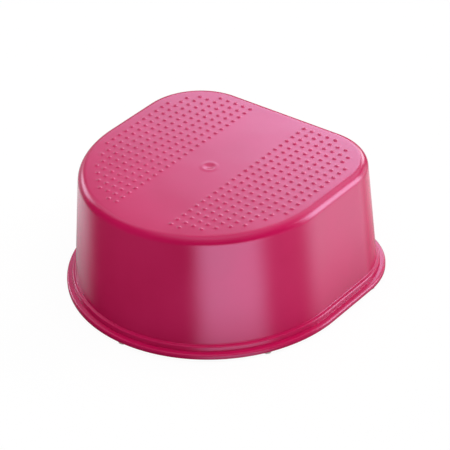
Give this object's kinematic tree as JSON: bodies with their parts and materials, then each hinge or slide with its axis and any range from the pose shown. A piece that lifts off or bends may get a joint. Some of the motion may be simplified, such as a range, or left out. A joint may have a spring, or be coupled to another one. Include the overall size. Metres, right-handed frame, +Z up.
{
  "type": "step stool",
  "caption": "Low hollow D-shaped moulded plastic step stool with a studded standing deck, a stepped base rim and soft anti-slip feet.",
  "frame": {"origin": "on the floor, at the centre of the footprint", "axes": "+Z up; +X across the width, to the right of someone facing the rounded end; +Y towards the straight end, so the deck's rounded end faces -Y"},
  "size_m": [0.3076, 0.3056, 0.1339],
  "materials": {
    "shell_plastic": "raspberry pink, slightly pearly, satin gloss",
    "foot_rubber": "milky off-white, satin"
  },
  "bodies": {
    "root": {"stool_shell": "shell_plastic", "foot_front": "foot_rubber", "foot_front_left": "foot_rubber", "foot_front_right": "foot_rubber", "foot_rear_left": "foot_rubber", "foot_rear_right": "foot_rubber", "foot_rear": "foot_rubber"}
  },
  "joints": []
}
